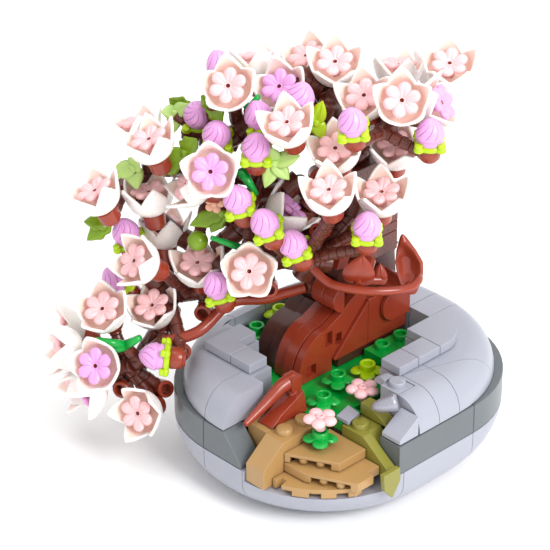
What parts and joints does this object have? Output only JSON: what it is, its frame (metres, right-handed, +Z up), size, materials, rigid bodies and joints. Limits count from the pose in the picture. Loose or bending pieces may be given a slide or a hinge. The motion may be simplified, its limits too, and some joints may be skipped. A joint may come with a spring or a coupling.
{
  "type": "brick-built cherry blossom bonsai",
  "caption": "Brick-built cherry blossom bonsai: leaning crown of pink and lilac blooms on side branches, stepped brown trunk and a small rock garden in a round grey pot",
  "frame": {"origin": "centre of the pot's flat underside", "axes": "+Z up, +X to the right and +Y away from the viewer of the picture; the stud grid is turned 45 degrees about Z"},
  "size_m": [0.1358, 0.0978, 0.1267],
  "materials": {
    "light_grey": "moulded plastic, light bluish grey",
    "dark_grey": "moulded plastic, dark grey",
    "core_brown": "moulded plastic, dark brown",
    "red_brown": "moulded plastic, reddish brown",
    "tan": "moulded plastic, dark tan",
    "olive": "moulded plastic, olive green",
    "green": "moulded plastic, green",
    "lime": "moulded plastic, lime",
    "white": "moulded plastic, white with pink flower",
    "pink": "moulded plastic, bright pink",
    "silver": "moulded plastic, pearl silver"
  },
  "bodies": {
    "root": {"pot_bowl": "light_grey", "belt_front_right": "dark_grey", "belt_right_corner": "dark_grey", "belt_back": "dark_grey", "belt_left_corner": "dark_grey", "belt_front_left": "dark_grey", "dome_right": "light_grey", "dome_back": "light_grey", "dome_left": "light_grey", "raised_tile_right": "light_grey", "raised_tile_left": "light_grey", "pot_core": "core_brown", "garden_bed": "green", "plant_green": "green", "plant_lime": "lime", "garden_flower_right": "pink", "garden_flower_front": "pink", "grey_slope": "light_grey", "grey_clip_plate": "light_grey", "silver_cone": "silver", "grey_tile": "light_grey", "sand_slope": "tan", "sand_plate_low": "tan", "sand_wedge_middle": "tan", "sand_wedge_top": "tan", "olive_slope_front": "olive", "olive_slope_back": "olive", "trunk_column": "core_brown", "trunk_wing": "red_brown", "root_dark": "core_brown", "root_red": "red_brown", "root_front": "red_brown", "trunk_claw": "red_brown", "trunk_leaves": "red_brown", "vine_bar": "red_brown", "spray_top_left": "core_brown", "spray_top_right": "core_brown", "spray_left": "core_brown", "spray_middle": "core_brown", "spray_low": "core_brown", "bloom_top_left": "white", "bloom_top_left_lilac": "white", "bloom_top_middle": "white", "bloom_upper_left_middle": "white", "bloom_top_right": "white", "bloom_top_right_front": "white", "bloom_top_right_end": "white", "bloom_left_high": "white", "bloom_left_end": "white", "bloom_left_lilac": "white", "bloom_upper_middle": "white", "bloom_middle_right": "white", "bloom_lower_right": "white", "bloom_left_middle": "white", "bloom_left_inner": "white", "bloom_front_open": "white", "bloom_low_left": "white", "bloom_low_inner": "white", "bloom_low_lilac": "white", "bloom_low_end": "white"}
  },
  "joints": []
}
